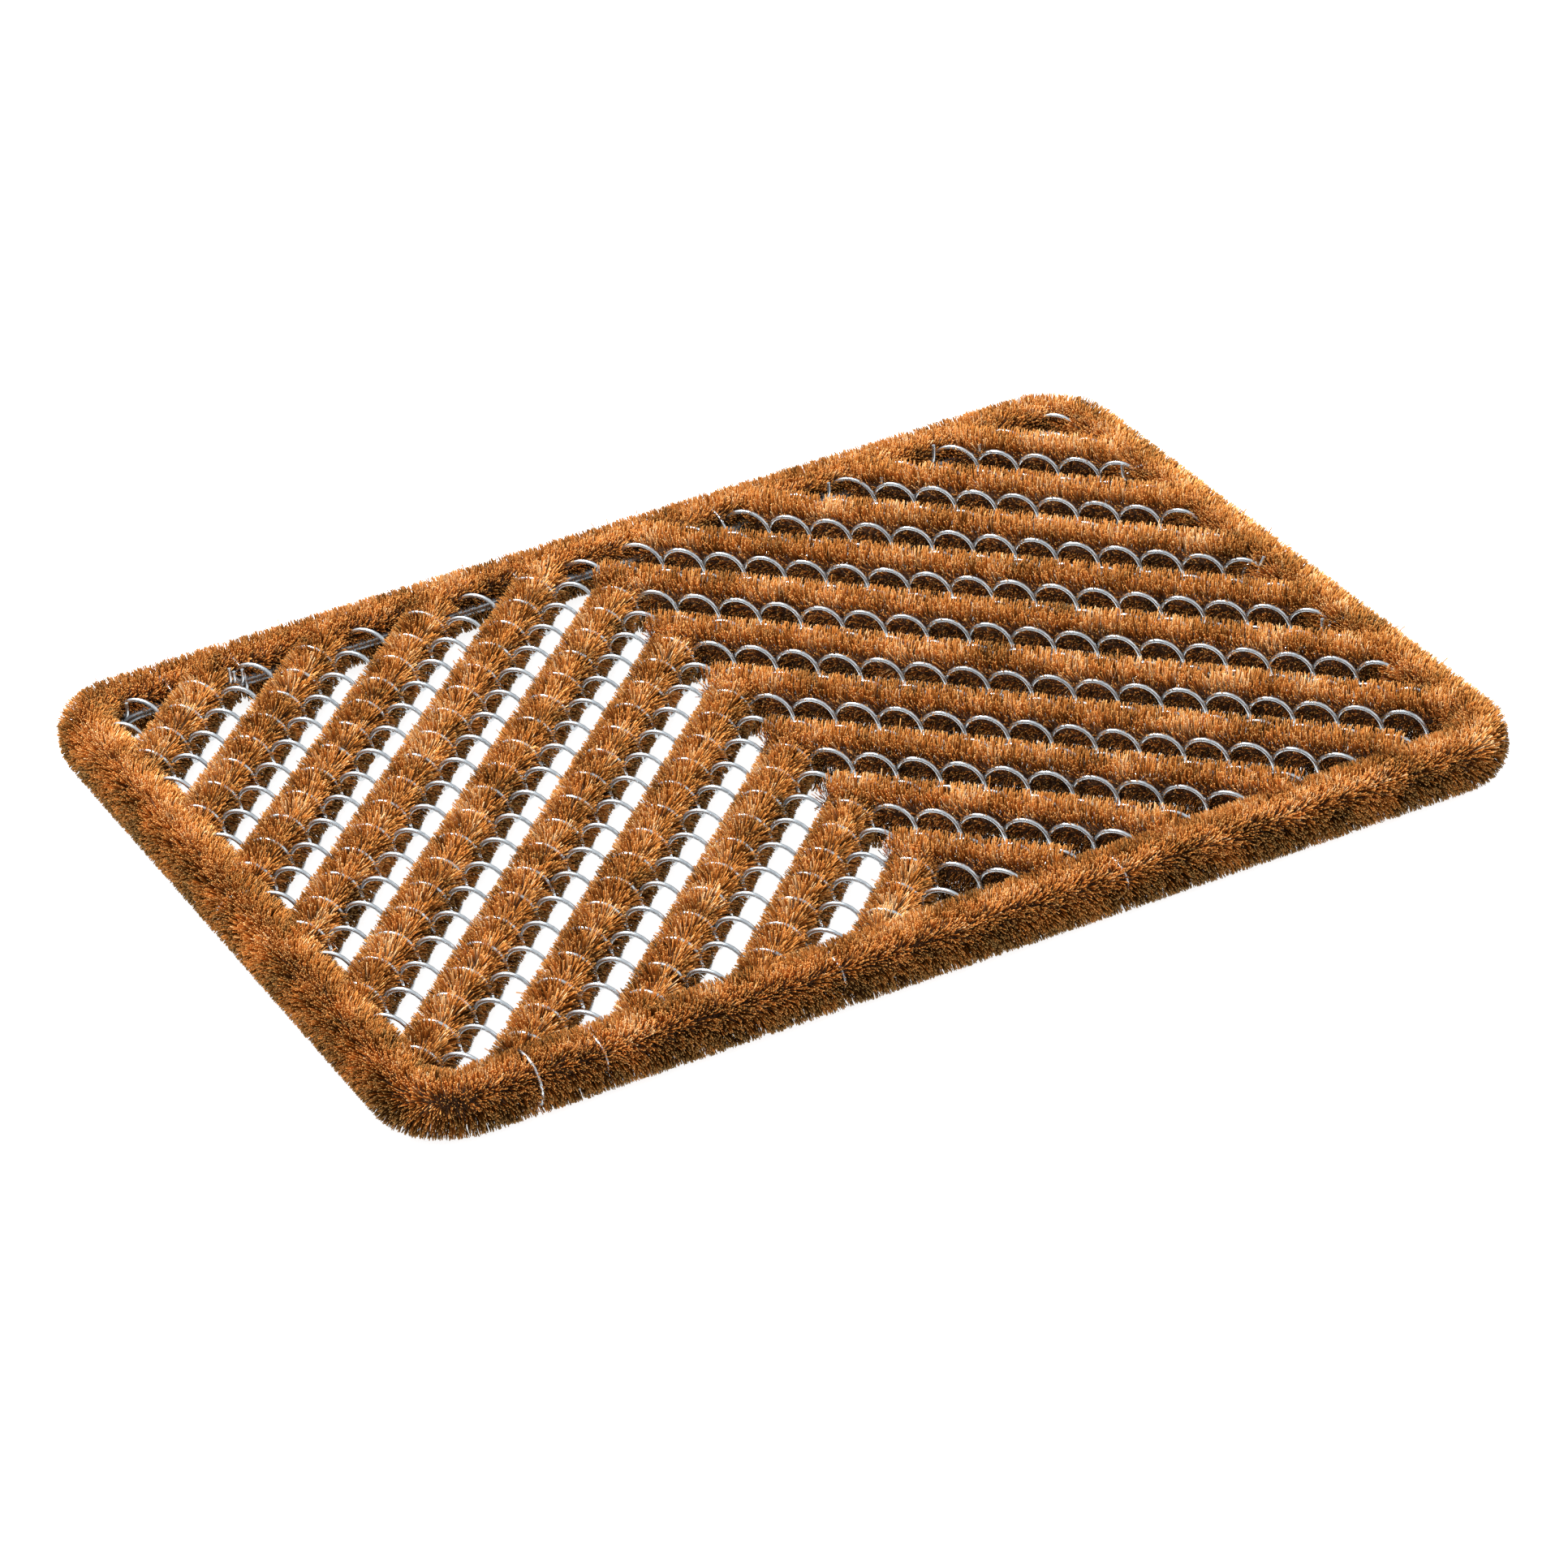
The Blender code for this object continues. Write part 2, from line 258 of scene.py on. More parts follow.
def make_spiral_tree():
    """A wire wound to and fro between two lines. Each half turn is an arch above or below the middle."""
    tree, source, sink = new_tree("wire_spiral", {
        "Steps": "Int", "Steps per Arch": "Int", "First X": "Float", "Pitch": "Float", "Low Y": "Float",
        "High Y": "Float", "Starts High": "Float", "Middle Z": "Float", "Radius": "Float",
        "Wire Radius": "Float", "Squaring": "Float", "Material": "Material"})
    step = add_node(tree, "GeometryNodeInputIndex").outputs[0]
    turn = number(tree, "DIVIDE", step, source["Steps per Arch"])
    wave = number(tree, "SINE", number(tree, "MULTIPLY", turn, 2 * math.pi))
    along = number(tree, "SUBTRACT", turn, number(tree, "MULTIPLY", wave, source["Squaring"]))
    x = number(tree, "MULTIPLY_ADD", along, source["Pitch"], source["First X"])
    phase = number(tree, "SUBTRACT", source["Starts High"], 1.0)
    angle = number(tree, "MULTIPLY", number(tree, "SUBTRACT", turn, phase), math.pi)
    half = number(tree, "MULTIPLY", number(tree, "SUBTRACT", source["High Y"], source["Low Y"]), 0.5)
    y = number(tree, "MULTIPLY_ADD", number(tree, "COSINE", angle), half,
               number(tree, "ADD", source["Low Y"], half))
    z = number(tree, "MULTIPLY_ADD", number(tree, "SINE", angle), source["Radius"], source["Middle Z"])
    place = add_node(tree, "ShaderNodeCombineXYZ", {0: x, 1: y, 2: z}).outputs[0]
    line = add_node(tree, "GeometryNodeMeshLine", {"Count": source["Steps"]}).outputs[0]
    line = add_node(tree, "GeometryNodeSetPosition", {"Geometry": line, "Position": place}).outputs[0]
    path = add_node(tree, "GeometryNodeMeshToCurve", {"Mesh": line}).outputs[0]
    ring = add_node(tree, "GeometryNodeCurvePrimitiveCircle",
                    {"Resolution": WIRE_SIDES, "Radius": source["Wire Radius"]}).outputs[0]
    wire = add_node(tree, "GeometryNodeCurveToMesh",
                    {"Curve": path, "Profile Curve": ring, "Fill Caps": True}).outputs[0]
    finish_tree(tree, wire, source, sink)
    return tree


wire_zinc = make_galvanised("galvanised_wire", 700.0, (0.80, 0.85, 0.88), (0.34, 0.39, 0.43))
spiral_tree = make_spiral_tree()
for index in range(SPIRALS):
    trimmed = 1 if index == 0 else 0  # the first spiral starts and ends one place further in
    first = trimmed - COLUMNS
    row_y = (index - SPIRALS / 2) * pitch_y
    spiral = grown(f"spiral_{index + 1:02d}", spiral_tree, {
        "Steps": (2 * COLUMNS - 2 * trimmed) * ARCH_STEPS + 1, "Steps per Arch": ARCH_STEPS,
        "First X": first * pitch_x, "Pitch": pitch_x,
        "Low Y": row_y - (ROD_REACH if index == 0 else HOOK_REACH),
        "High Y": row_y + pitch_y + (ROD_REACH if index == SPIRALS - 1 else HOOK_REACH),
        "Starts High": float((first - index) % 2), "Middle Z": mesh_middle, "Radius": SPIRAL_RADIUS,
        "Wire Radius": WIRE_RADIUS, "Squaring": ARCH_SQUARING, "Material": wire_zinc})
    spiral.data.shade_smooth()
    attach(spiral, "root")
    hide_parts(f"wire_coil_{index + 1:02d}")

# Tie wires. Soft galvanised wire, 1.8 mm thick, looped round the frame rod and the border brush and drawn
# tight, so that the bristles close over it in a narrow notch. Cut ends are left standing at some places.
TIE_RADIUS = 0.0009
TIE_OUTER = 0.0220  # from the middle of the rod to the outer end of the loop
TIE_HALF_HEIGHT = 0.0076
LOOSE_TIES = {"tie_wire_06": 0.0040}  # how far this loop stands out past the others
TIE_SQUARENESS = 2.3
TIE_STEPS = 32
TIE_ROUNDNESS = 2
TIE_TO_BRUSH = 0.011  # from the middle of the rod to the middle of the border brush
TIES = 13
tie_inner = ROD_RADIUS + TIE_RADIUS
tie_places = []


def signed_power(value, power):
    """The power of value's size, with value's own sign."""
    return math.copysign(abs(value) ** power, value)


for tie_number in range(1, TIES + 1):
    node = f"tie_wire_{tie_number:02d}"
    low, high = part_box(node)
    centre = (low + high) / 2
    if high.x - low.x > high.y - low.y:
        at, outward = (math.copysign(rod_x, centre.x), centre.y), (math.copysign(1.0, centre.x), 0.0)
    else:
        at, outward = (centre.x, math.copysign(rod_y, centre.y)), (0.0, math.copysign(1.0, centre.y))
    outer = TIE_OUTER + LOOSE_TIES.get(node, 0.0)
    half_height = TIE_HALF_HEIGHT + LOOSE_TIES.get(node, 0.0)
    loop = []
    for step in range(TIE_STEPS):
        angle = step / TIE_STEPS * 2 * math.pi
        reach = (outer - tie_inner) / 2 + (outer + tie_inner) / 2 * signed_power(
            math.cos(angle), 2 / TIE_SQUARENESS)
        rise = half_height * signed_power(math.sin(angle), 2 / TIE_SQUARENESS)
        loop.append((at[0] + outward[0] * reach, at[1] + outward[1] * reach, mesh_middle + rise))
    tie = round_wire(f"tie_{tie_number:02d}", loop, TIE_RADIUS, TIE_ROUNDNESS, wire_zinc, closed=True)
    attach(tie, "root")
    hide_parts(node)
    tie_places.append((at[0] + outward[0] * TIE_TO_BRUSH, at[1] + outward[1] * TIE_TO_BRUSH, mesh_middle))

# Each cut end is a wire wound under and over the rod that then stands up to its tip, whose place is given.
CUT_ENDS = (
    (-0.265, 0.185, 0.0285), (-0.209, 0.185, 0.0300), (-0.206, 0.187, 0.0262), (-0.203, 0.183, 0.0285),
    (0.133, 0.186, 0.0292), (0.160, 0.178, 0.0275), (0.198, 0.190, 0.0298), (0.220, 0.180, 0.0280),
    (0.270, 0.117, 0.0290), (0.279, -0.008, 0.0290), (0.270, -0.077, 0.0285),
)
END_TURN_STEPS = 14
END_TURN_FROM = 330  # degrees round the rod, with 0 on its inner side and 90 on top
END_TURN_BY = -240
END_SLANT = 0.002  # how far the turn runs along the rod
END_RISE_STEPS = 10
KNEE_REACH = 0.003  # the bend between the turn and the tip: at least so far in from the rod,
KNEE_SHARE = 1.1  # or this share of the tip's own reach,
KNEE_DROP = 0.001  # and so much lower than the turn's top
for end_number, (tip_x, tip_y, tip_z) in enumerate(CUT_ENDS):
    if rod_x - abs(tip_x) < rod_y - abs(tip_y):
        at = Vector((math.copysign(rod_x, tip_x), tip_y, mesh_middle))
        inward = Vector((-math.copysign(1.0, tip_x), 0, 0))
    else:
        at = Vector((tip_x, math.copysign(rod_y, tip_y), mesh_middle))
        inward = Vector((0, -math.copysign(1.0, tip_y), 0))
    along = Vector((-inward.y, inward.x, 0))
    points = []
    for step in range(END_TURN_STEPS + 1):
        angle = math.radians(END_TURN_FROM + END_TURN_BY * step / END_TURN_STEPS)
        round_rod = inward * math.cos(angle) + Vector((0, 0, math.sin(angle)))
        points.append(at + round_rod * tie_inner + along * END_SLANT * (step / END_TURN_STEPS - 1))
    top = points[-1]
    tip = Vector((tip_x, tip_y, tip_z))
    knee = top + inward * max(KNEE_REACH, KNEE_SHARE * (tip - top).dot(inward)) - Vector((0, 0, KNEE_DROP))
    for step in range(1, END_RISE_STEPS + 1):
        share = step / END_RISE_STEPS
        points.append(top * (1 - share) ** 2 + knee * 2 * share * (1 - share) + tip * share ** 2)
    cut_end = round_wire(f"tie_end_{end_number + 1:02d}", points, TIE_RADIUS, TIE_ROUNDNESS, wire_zinc)
    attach(cut_end, "root")

# Border brush. Coir bristles held between two twisted wires, bent round the mat and closed on itself,
# trimmed flat underneath and rounded above. It is grown in lengths from one centre line.
BORDER_HALF_WIDTH = 0.016
BORDER_LENGTHS = 6
BORDER_BRISTLES = 141000
BORDER_CORNER_RADIUS = 0.0245
BORDER_ROOTS_RADIUS = 0.0075
ROOTS_ROUNDNESS = 3
BRISTLE_RADIUS = 0.00029
CURVED_SHARE = 0.15  # of the bristles are bowed
TUFT_SCALE = 150.0  # tufts to a metre
FLOOR_CLEARANCE = 0.0002  # bristles stop this far above the ground
LONGEST = 1.01  # of the length to the trimmed section
UNDERSIDE_TRIM = 0.06  # how much more even the bristles are underneath
STRAY_LENGTHS = (0.05, 0.24)  # how much longer a stray bristle is
STRAY_RANGE = (-0.2, 0.3)  # none of them points lower than the first; above the second all are as long
GOLDEN_TURN = 2.39996  # radians from one bristle to the next, so that they stand evenly all round
TURN_JITTER = 0.3  # as a share of that
THICKNESS_RANGE = (0.65, 1.25)
BOW = 0.5  # how far a curved bristle leans out on its way, against its length
OWN_TONE = 0.26  # two draws together, so that middle tones are commoner than the palest and darkest
OWN_TONE_MORE = 0.20
TUFT_TONE_WEIGHT = 0.7  # how far the tone changes from tuft to tuft, and over wider patches
PATCH_TONE_WEIGHT = 1.5
COIR_PATCH_SCALE = 45.0
GRIP_SCALE = 16.0  # how hard a wire grips changes from place to place
GRIP_OUTWARD = 1.6  # wires grip harder towards the mat's front and back edges, by this much to a metre
GRIP_RANGE = (0.56, 0.76)  # the two together: bristles begin to part for a wire, and part wholly
PARTING_RANGE = (-0.1, 0.4)  # likewise as they point more nearly at the wire
TRIMMING_RANGE = (0.45, 0.80)  # and as those right under it stop short of it
TRIMMING_SHARPNESS = 6.0
ROOT_SHADE_FADE = (0.25, 0.85)  # the painted shade at the root gives way to the bristle's own colour over this share of its length
TIP_HIGHLIGHT_FADE = (0.88, 0.97)  # and that to the painted highlight at the cut tip over this
TIP_HIGHLIGHT_STRENGTH = 0.35
MAP_MARGIN = 0.04  # the bristles' own map keeps this clear of its edges
MAP_SPAN = 0.92
MAP_THICKNESS = 0.02  # a bristle's thickness takes this much of the map, so that no face has no area


def random_number(tree, low, high, seed):
    made = add_node(tree, "FunctionNodeRandomValue", {2: low, 3: high, "Seed": seed}, data_type="FLOAT")
    return made.outputs[1]


def ramp_between(tree, value, low, high):
    """0 where value is low or less, 1 where it is high or more, and even between."""
    return add_node(tree, "ShaderNodeMapRange", {0: value, 1: low, 2: high}).outputs[0]


def vector(tree, operation, first, second=None, scale=None):
    inputs = {0: first}
    if second is not None:
        inputs[1] = second
    if scale is not None:
        inputs["Scale"] = scale
    made = add_node(tree, "ShaderNodeVectorMath", inputs, operation=operation)
    return made.outputs["Value" if operation == "DOT_PRODUCT" else "Vector"]


def remember(tree, geometry, name, value, kind="FLOAT", domain="POINT"):
    stored = add_node(tree, "GeometryNodeStoreNamedAttribute",
                      {"Geometry": geometry, "Name": name, "Value": value}, data_type=kind, domain=domain)
    return stored.outputs[0]


def recall(tree, name, kind="FLOAT"):
    return add_node(tree, "GeometryNodeInputNamedAttribute", {"Name": name}, data_type=kind).outputs[0]


def make_bristle_tree():
    """Bristles standing out all round a centre line. Each is thinnest at its root and cut square at its
    tip. Tips end on a trimmed section, lean together in tufts, and part where a wire crosses them.
    Parting Side says where the wires pass: 1 is over the brush, -1 under it, and 0 all round."""
    tree, source, sink = new_tree("coir_bristles", {
        "Count": "Int", "Start": "Float", "End": "Float", "Half Width": "Float", "Up": "Float",
        "Down": "Float", "Squareness": "Float", "Bristle Radius": "Float", "Spread": "Float",
        "Tuft Lean": "Float", "Tuft Scale": "Float", "Curved Share": "Float", "Parting": "Float",
        "Parting Reach": "Float", "Parting Dip": "Float", "Parting Side": "Float", "Parting Places": "Object",
        "Shortest": "Float", "Stray Share": "Float", "Tone": "Float", "Bleach": "Float", "Seed": "Int",
        "Material": "Material"})

    def seed(more):
        return number(tree, "ADD", source["Seed"], float(more))

    count = source["Count"]
    index = add_node(tree, "GeometryNodeInputIndex").outputs[0]
    share = number(tree, "DIVIDE", number(tree, "ADD", index, random_number(tree, 0.0, 1.0, seed(1))), count)
    stretch = number(tree, "SUBTRACT", source["End"], source["Start"])
    along_line = number(tree, "MULTIPLY_ADD", share, stretch, source["Start"])
    sample = add_node(tree, "GeometryNodeSampleCurve", {"Curves": source["Geometry"], "Factor": along_line},
                      mode="FACTOR", use_all_curves=True)
    centre, ahead = sample.outputs["Position"], sample.outputs["Tangent"]
    up = (0.0, 0.0, 1.0)
    aside = vector(tree, "NORMALIZE", vector(tree, "CROSS_PRODUCT", ahead, up))

    uneven = random_number(tree, -TURN_JITTER, TURN_JITTER, seed(2))
    turn = number(tree, "MULTIPLY", number(tree, "ADD", index, uneven), GOLDEN_TURN)
    straight = vector(tree, "ADD", vector(tree, "SCALE", aside, scale=number(tree, "COSINE", turn)),
                      add_node(tree, "ShaderNodeCombineXYZ", {2: number(tree, "SINE", turn)}).outputs[0])
    near_tip = vector(tree, "ADD", centre, vector(tree, "SCALE", straight, scale=source["Half Width"]))
    tufts = add_node(tree, "ShaderNodeTexNoise",
                     {"Vector": near_tip, "Scale": source["Tuft Scale"], "Detail": 2.0, "Roughness": 0.6})
    pull = vector(tree, "SCALE", vector(tree, "SUBTRACT", tufts.outputs[1], (0.5, 0.5, 0.5)),
                  scale=source["Tuft Lean"])
    jitter = add_node(tree, "FunctionNodeRandomValue",
                      {0: (-1.0, -1.0, -1.0), 1: (1.0, 1.0, 1.0), "Seed": seed(3)},
                      data_type="FLOAT_VECTOR").outputs[0]
    lean = vector(tree, "ADD", pull, vector(tree, "SCALE", jitter, scale=source["Spread"]))

    # the nearest wire: how close it is along the line, which side it is on, and how hard it grips
    places = add_node(tree, "GeometryNodeObjectInfo", {"Object": source["Parting Places"]})
    nearest = add_node(tree, "GeometryNodeProximity",
                       {"Geometry": places.outputs["Geometry"], "Sample Position": centre},
                       target_element="POINTS").outputs["Position"]
    off = vector(tree, "DOT_PRODUCT", vector(tree, "SUBTRACT", centre, nearest), ahead)
    away = number(tree, "DIVIDE", off, source["Parting Reach"])
    close = number(tree, "EXPONENT", number(tree, "MULTIPLY", number(tree, "MULTIPLY", away, away), -1.0))
    facing = number(tree, "MULTIPLY", number(tree, "SINE", turn), source["Parting Side"])
    all_round = number(tree, "COMPARE", source["Parting Side"], 0.0, 0.1)
    faced = number(tree, "MAXIMUM", ramp_between(tree, facing, *PARTING_RANGE), all_round)
    crest = number(tree, "MAXIMUM", ramp_between(tree, facing, *TRIMMING_RANGE), all_round)
    wander = add_node(tree, "ShaderNodeTexNoise",
                      {"Vector": nearest, "Scale": GRIP_SCALE, "Detail": 1.0}).outputs[0]
    nearest_y = add_node(tree, "ShaderNodeSeparateXYZ", {0: nearest}).outputs[1]
    grip = number(tree, "MULTIPLY_ADD", number(tree, "ABSOLUTE", nearest_y), GRIP_OUTWARD, wander)
    gripped = number(tree, "MAXIMUM", ramp_between(tree, grip, *GRIP_RANGE), all_round)
    held = number(tree, "MULTIPLY", close, faced)
    push = number(tree, "MULTIPLY", number(tree, "SIGN", off), held)
    push = number(tree, "MULTIPLY", number(tree, "MULTIPLY", push, source["Parting"]), gripped)
    leaning = vector(tree, "ADD", straight, lean)
    parted = vector(tree, "ADD", leaning, vector(tree, "SCALE", ahead, scale=push))
    heading = vector(tree, "NORMALIZE", parted)

    # how far a bristle of this heading is from its root to the trimmed section
    across = number(tree, "DIVIDE", number(tree, "ABSOLUTE", vector(tree, "DOT_PRODUCT", heading, aside)),
                    source["Half Width"])
    rise = vector(tree, "DOT_PRODUCT", heading, up)
    over = number(tree, "DIVIDE", number(tree, "MAXIMUM", rise, 0.0), source["Up"])
    fall = number(tree, "MAXIMUM", number(tree, "MULTIPLY", rise, -1.0), 0.0)
    under = number(tree, "DIVIDE", fall, source["Down"])
    power = source["Squareness"]
    section = number(tree, "ADD", number(tree, "POWER", across, power),
                     number(tree, "POWER", number(tree, "ADD", over, under), power))
    trimmed = number(tree, "POWER", section, number(tree, "DIVIDE", -1.0, power))
    below = number(tree, "LESS_THAN", rise, 0.0)
    level = number(tree, "MULTIPLY_ADD", below, UNDERSIDE_TRIM, source["Shortest"])
    length = number(tree, "MULTIPLY", trimmed, random_number(tree, level, LONGEST, seed(4)))
    dip = number(tree, "MULTIPLY", number(tree, "POWER", held, TRIMMING_SHARPNESS), source["Parting Dip"])
    dip = number(tree, "MULTIPLY", number(tree, "MULTIPLY", dip, crest), gripped)
    length = number(tree, "MULTIPLY", length, number(tree, "SUBTRACT", 1.0, dip))
    missed = number(tree, "LESS_THAN", random_number(tree, 0.0, 1.0, seed(8)), source["Stray Share"])
    missed = number(tree, "MULTIPLY", missed, ramp_between(tree, rise, *STRAY_RANGE))
    longer = number(tree, "MULTIPLY", missed, random_number(tree, *STRAY_LENGTHS, seed(9)))
    length = number(tree, "MULTIPLY", length, number(tree, "ADD", 1.0, longer))

    patch = add_node(tree, "ShaderNodeTexNoise",
                     {"Vector": near_tip, "Scale": COIR_PATCH_SCALE, "Detail": 3.0}).outputs[0]
    tuft_tone = number(tree, "SUBTRACT", tufts.outputs[0], 0.5)
    own_tone = number(tree, "ADD", random_number(tree, -OWN_TONE, OWN_TONE, seed(5)),
                      random_number(tree, -OWN_TONE_MORE, OWN_TONE_MORE, seed(10)))
    patch_tone = number(tree, "SUBTRACT", patch, 0.5)
    tone = number(tree, "MULTIPLY_ADD", patch_tone, PATCH_TONE_WEIGHT, source["Tone"])
    tone = number(tree, "ADD", tone, number(tree, "MULTIPLY_ADD", tuft_tone, TUFT_TONE_WEIGHT, own_tone))
    # painted light and shade: the more a bristle points up, the paler it is, and the more it points down, the
    # darker, as if lit from above
    tone = number(tree, "MULTIPLY_ADD", rise, source["Bleach"], tone)
    tone = add_node(tree, "ShaderNodeClamp", {"Value": tone}).outputs[0]

    # a straight spike or one in two segments that can bow, set on a point at each bristle's root
    points = add_node(tree, "GeometryNodePoints", {"Count": count, "Position": centre}).outputs[0]
    points = remember(tree, points, "tone", tone)
    bow = vector(tree, "SCALE", jitter, scale=number(tree, "MULTIPLY", length, BOW))
    points = remember(tree, points, "bow", bow, "FLOAT_VECTOR")
    kinds = []
    for segments in (1, 2):
        shape = add_node(tree, "GeometryNodeMeshCone",
                         {"Vertices": 3, "Side Segments": segments, "Radius Top": 1.0, "Radius Bottom": 0.0,
                          "Depth": 1.0}, fill_type="NGON").outputs["Mesh"]
        spot = add_node(tree, "GeometryNodeInputPosition").outputs[0]
        shape = remember(tree, shape, "spot", spot, "FLOAT_VECTOR")
        kinds.append(add_node(tree, "GeometryNodeGeometryToInstance", {"Geometry": shape}).outputs[0])
    both = tree.nodes.new("GeometryNodeJoinGeometry")
    for kind in reversed(kinds):
        tree.links.new(kind, both.inputs[0])
    curved = number(tree, "LESS_THAN", random_number(tree, 0.0, 1.0, seed(6)), source["Curved Share"])
    pointing = add_node(tree, "FunctionNodeAlignRotationToVector", {"Vector": heading}, axis="Z").outputs[0]
    thick = number(tree, "MULTIPLY", source["Bristle Radius"], random_number(tree, *THICKNESS_RANGE, seed(7)))
    size = add_node(tree, "ShaderNodeCombineXYZ", {0: thick, 1: thick, 2: length}).outputs[0]
    bristles = add_node(tree, "GeometryNodeInstanceOnPoints",
                        {"Points": points, "Instance": both.outputs[0], "Pick Instance": True,
                         "Instance Index": curved, "Rotation": pointing, "Scale": size}).outputs[0]
    bristles = add_node(tree, "GeometryNodeRealizeInstances", {"Geometry": bristles}).outputs[0]

    spot = add_node(tree, "ShaderNodeSeparateXYZ", {0: recall(tree, "spot", "FLOAT_VECTOR")}).outputs
    arch = number(tree, "MULTIPLY", spot[2], number(tree, "SUBTRACT", 1.0, spot[2]))
    bulge = vector(tree, "SCALE", recall(tree, "bow", "FLOAT_VECTOR"), scale=arch)
    bristles = add_node(tree, "GeometryNodeSetPosition", {"Geometry": bristles, "Offset": bulge}).outputs[0]
    map_u = number(tree, "MULTIPLY_ADD", recall(tree, "tone"), MAP_SPAN, MAP_MARGIN)
    map_u = number(tree, "MULTIPLY_ADD", spot[0], MAP_THICKNESS, map_u)
    map_v = number(tree, "MULTIPLY_ADD", spot[2], MAP_SPAN, MAP_MARGIN)
    map_v = number(tree, "MULTIPLY_ADD", spot[1], MAP_THICKNESS, map_v)
    place = add_node(tree, "ShaderNodeCombineXYZ", {0: map_u, 1: map_v}).outputs[0]
    bristles = remember(tree, bristles, "OFBake", place, "FLOAT2", "CORNER")
    finish_tree(tree, bristles, source, sink)
    return tree


def make_coir(name, tones, root, tip):
    """Coir fibre. Tone runs across the piece's map, root to tip up it: painted shade at roots, painted
    highlight at tips.
    """
    material = bpy.data.materials.new(name)
    material.use_nodes = True
    tree = material.node_tree
    shader = tree.nodes["Principled BSDF"]
    shader.inputs["Roughness"].default_value = 0.5
    shader.inputs["Specular IOR Level"].default_value = 0.05
    where = add_node(tree, "ShaderNodeUVMap", {}, uv_map="OFBake").outputs[0]
    split = add_node(tree, "ShaderNodeSeparateXYZ", {0: where}).outputs
    ramp = tree.nodes.new("ShaderNodeValToRGB")
    stops = ramp.color_ramp.elements
    while len(stops) < len(tones):
        stops.new(0.5)
    for stop, (position, colour) in zip(stops, tones):
        stop.position = position
        stop.color = (*colour, 1.0)
    tree.links.new(split[0], ramp.inputs[0])
    # painted shade: towards the root the colour goes over to a near black, as if deep in the brush's shade
    depth = ramp_between(tree, split[1], *ROOT_SHADE_FADE)
    body = add_node(tree, "ShaderNodeMix", {0: depth, 6: (*root, 1.0), 7: ramp.outputs[0]},
                    data_type="RGBA").outputs[2]
    # painted highlight: the cut tips are mixed towards a pale colour, as if lit
    cut = number(tree, "MULTIPLY", ramp_between(tree, split[1], *TIP_HIGHLIGHT_FADE), TIP_HIGHLIGHT_STRENGTH)
    ends = add_node(tree, "ShaderNodeMix", {0: cut, 6: body, 7: (*tip, 1.0)}, data_type="RGBA").outputs[2]
    tree.links.new(ends, shader.inputs["Base Color"])
    return material


def point_cloud(name, points):
    """Loose points for a tree to read. It isn't a piece, so it is removed after use."""
    mesh = bpy.data.meshes.new(name)
    mesh.from_pydata(points, [], [])
    return bpy.data.objects.new(name, mesh)


def finish_bristles(obj, node):
    """Drops what only the tree needed, says what the bristles ride on, and hides the part they stand for."""
    for name in ("tone", "bow", "spot"):
        attribute = obj.data.attributes.get(name)
        if attribute:
            obj.data.attributes.remove(attribute)
    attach(obj, "root")
    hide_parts(node)


COIR_TONES = (
    (0.00, (0.040, 0.012, 0.003)),
    (0.16, (0.130, 0.056, 0.010)),
    (0.34, (0.300, 0.094, 0.015)),
    (0.50, (0.490, 0.171, 0.029)),
    (0.66, (0.735, 0.266, 0.050)),
    (0.82, (0.855, 0.465, 0.155)),
    (1.00, (0.975, 0.770, 0.470)),
)
# painted shade: the near black that the bristles go over to towards their roots
COIR_ROOT_SHADE = (0.036, 0.010, 0.002)
# painted highlight: the pale colour of the bristles' cut tips
COIR_TIP_HIGHLIGHT = (0.87, 0.52, 0.18)
border_coir = make_coir("border_coir", COIR_TONES, COIR_ROOT_SHADE, COIR_TIP_HIGHLIGHT)
bristle_tree = make_bristle_tree()
border_line = rounded_loop(cad_high.x - BORDER_HALF_WIDTH, cad_high.y - BORDER_HALF_WIDTH,
                           BORDER_CORNER_RADIUS, mesh_middle)
tie_points = point_cloud("tie_places", tie_places)
for length_index in range(BORDER_LENGTHS):
    line = line_curve(f"border_bristles_{length_index + 1}", border_line, True)
    bristles = grown(line.name, bristle_tree, {
        "Count": BORDER_BRISTLES // BORDER_LENGTHS, "Start": length_index / BORDER_LENGTHS,
        "End": (length_index + 1) / BORDER_LENGTHS, "Half Width": BORDER_HALF_WIDTH,
        "Up": cad_high.z - mesh_middle, "Down": mesh_middle - FLOOR_CLEARANCE, "Squareness": 3.3,
        "Bristle Radius": BRISTLE_RADIUS, "Spread": 0.24, "Tuft Lean": 0.75, "Tuft Scale": TUFT_SCALE,
        "Curved Share": CURVED_SHARE, "Parting": 0.2, "Parting Reach": 0.0020, "Parting Dip": 0.3,
        "Parting Side": 0.0, "Parting Places": tie_points, "Shortest": 0.88, "Stray Share": 0.005,
        "Tone": 0.27, "Bleach": 0.30, "Seed": 100 * length_index, "Material": border_coir}, base=line)
    finish_bristles(bristles, "border_brush")
bpy.data.objects.remove(tie_points)


